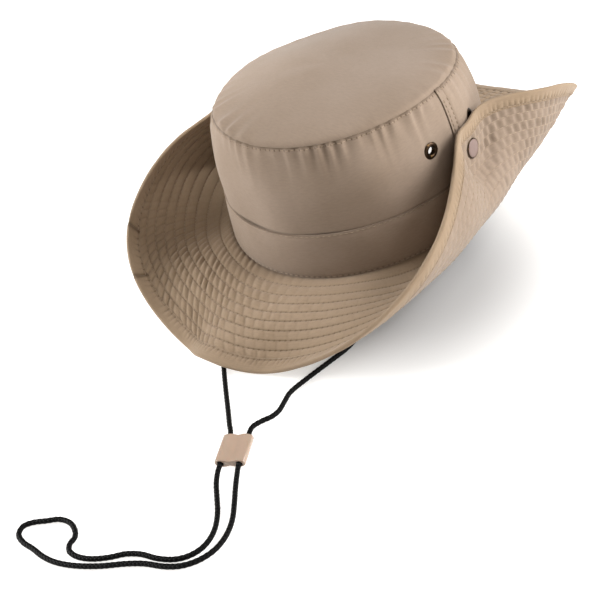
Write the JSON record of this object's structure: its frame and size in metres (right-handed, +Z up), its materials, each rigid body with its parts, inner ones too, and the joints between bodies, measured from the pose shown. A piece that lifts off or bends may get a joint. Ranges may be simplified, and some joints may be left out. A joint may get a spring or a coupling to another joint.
{
  "type": "safari hat",
  "caption": "Cotton safari hat with a domed oval crown, a self-fabric band, a wide stitched brim snapped up at both sides and a black chin cord with a flat slider, lying on a floor.",
  "frame": {"origin": "on the floor under the middle of the hat's brim, the chin cord left out", "axes": "+Z up, -Y the front of the hat, +X the wearer's left"},
  "size_m": [0.2344, 0.4899, 0.1216],
  "materials": {
    "canvas": "khaki cotton canvas, matt, stitched",
    "eyelet_metal": "dark bronzed brass",
    "snap_metal": "dull grey-brown snap metal",
    "snap_enamel": "pinkish brown enamel on a dark metal rim",
    "cord_braid": "black round braid",
    "slider_plastic": "beige satin moulded sleeve"
  },
  "bodies": {
    "root": {"crown_top": "canvas", "crown_front_panel": "canvas", "crown_back_panel": "canvas", "hat_band": "canvas", "brim": "canvas", "brim_binding": "canvas", "eyelet_left_front": "eyelet_metal", "eyelet_left_back": "eyelet_metal", "eyelet_right_front": "eyelet_metal", "eyelet_right_back": "eyelet_metal", "snap_stud_left": "snap_metal", "snap_stud_right": "snap_metal", "snap_cap_left": "snap_enamel", "snap_cap_right": "snap_enamel", "chin_cord": "cord_braid", "cord_slider": "slider_plastic"}
  },
  "joints": []
}
